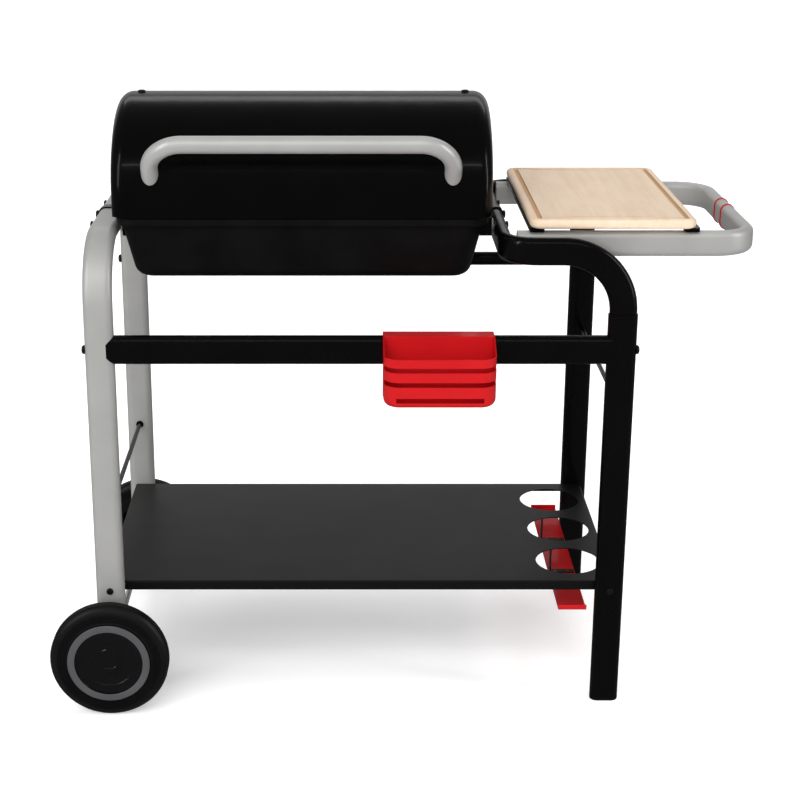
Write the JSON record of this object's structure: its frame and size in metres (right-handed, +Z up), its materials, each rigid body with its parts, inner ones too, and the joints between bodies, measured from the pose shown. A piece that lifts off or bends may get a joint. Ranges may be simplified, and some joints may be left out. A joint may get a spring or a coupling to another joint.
{
  "type": "barbecue grill trolley",
  "caption": "Barbecue trolley with an arched hinged lid, tapered tub, bent-tube legs, wheels, bottle shelf, tool holder and a wooden side board.",
  "frame": {"origin": "on the floor under the middle of the whole trolley", "axes": "+X along the front rail from the wheels to the side board, +Y from front to back, +Z up"},
  "size_m": [1.1676, 0.637, 1.0151],
  "materials": {
    "silver_tube": "satin silver",
    "grip_silver": "satin",
    "black_tube": "gloss black",
    "black_sheet": "satin dark grey",
    "cast_black": "satin",
    "lid_enamel": "gloss enamel",
    "red_paint": "gloss",
    "red_band": "gloss",
    "tyre_black": "matte",
    "wheel_black": "matte",
    "hub_grey": "satin",
    "beech": "oiled",
    "black_plastic": "matte",
    "black_fixings": "satin",
    "zinc_fixings": "satin",
    "grate_steel": "bright"
  },
  "bodies": {
    "frame": {"left_leg_tube": "silver_tube", "right_top_tube": "black_tube", "right_front_leg": "black_tube", "right_back_leg": "black_tube", "right_front_foot": "black_plastic", "right_back_foot": "black_plastic", "left_leg_plugs": "black_plastic", "front_rail": "black_tube", "front_rail_plugs": "black_plastic", "rear_bar": "black_tube", "rear_bar_plugs": "black_plastic", "rail_bolts": "black_fixings", "left_tie_rod": "black_tube", "right_tie_rod": "black_tube", "shelf": "black_sheet", "shelf_bolts": "black_fixings", "bottle_cradle": "red_paint", "cradle_hangers": "black_sheet", "cradle_rivets": "red_paint", "axle": "zinc_fixings", "axle_bushes": "zinc_fixings", "axle_clips": "black_plastic", "tub": "cast_black", "grate_lugs": "cast_black", "tub_washers": "zinc_fixings", "tub_bolts": "black_fixings", "tub_straps": "black_tube", "tub_hinge_leaves": "black_fixings", "tub_hinge_screws": "black_fixings", "hinge_pins": "zinc_fixings", "side_handle": "silver_tube", "side_handle_spacers": "zinc_fixings", "side_handle_bolts": "black_fixings", "side_handle_rings": "red_band", "board_bearers": "black_tube", "board_bearer_screws": "black_fixings", "board_pegs": "zinc_fixings"},
    "lid": {"lid_skin": "lid_enamel", "lid_end_left": "lid_enamel", "lid_end_right": "lid_enamel", "lid_crest_screws": "black_fixings", "lid_grip": "grip_silver", "lid_grip_plugs": "black_plastic", "lid_grip_bolts": "zinc_fixings", "lid_hinge_leaves": "black_fixings", "lid_hinge_screws": "black_fixings"},
    "front_wheel": {"front_tyre": "tyre_black", "front_wheel_rim": "wheel_black", "front_hub_cap": "hub_grey"},
    "back_wheel": {"back_tyre": "tyre_black", "back_wheel_rim": "wheel_black", "back_hub_cap": "hub_grey"},
    "board": {"board": "beech"},
    "tool_holder": {"tool_holder": "red_paint"},
    "cooking_grate_left": {"cooking_grate_left": "grate_steel"},
    "cooking_grate_right": {"cooking_grate_right": "grate_steel"},
    "coal_grate": {"coal_grate": "grate_steel"}
  },
  "joints": [
    {"name": "lid_hinge", "type": "hinge", "parent": "frame", "child": "lid", "pos_m": [-0.15625, 0.18145, 0.8316], "axis": [-1, 0, 0], "range_deg": [0, 92]},
    {"name": "front_wheel_spin", "type": "hinge", "parent": "frame", "child": "front_wheel", "pos_m": [-0.48375, -0.26405, 0.1], "axis": [0, 1, 0], "continuous": true},
    {"name": "back_wheel_spin", "type": "hinge", "parent": "frame", "child": "back_wheel", "pos_m": [-0.48375, 0.27795, 0.1], "axis": [0, 1, 0], "continuous": true},
    {"name": "board_lift", "type": "slide", "parent": "frame", "child": "board", "axis": [0, 0, 1], "range_m": [0, 0.12]},
    {"name": "holder_lift", "type": "slide", "parent": "frame", "child": "tool_holder", "axis": [0, 0, 1], "range_m": [0, 0.1]},
    {"name": "cooking_grate_left_lift", "type": "slide", "parent": "frame", "child": "cooking_grate_left", "axis": [0, 0, 1], "range_m": [0, 0.04]},
    {"name": "cooking_grate_right_lift", "type": "slide", "parent": "frame", "child": "cooking_grate_right", "axis": [0, 0, 1], "range_m": [0, 0.04]},
    {"name": "coal_grate_lift", "type": "slide", "parent": "frame", "child": "coal_grate", "axis": [0, 0, 1], "range_m": [0, 0.025]}
  ]
}
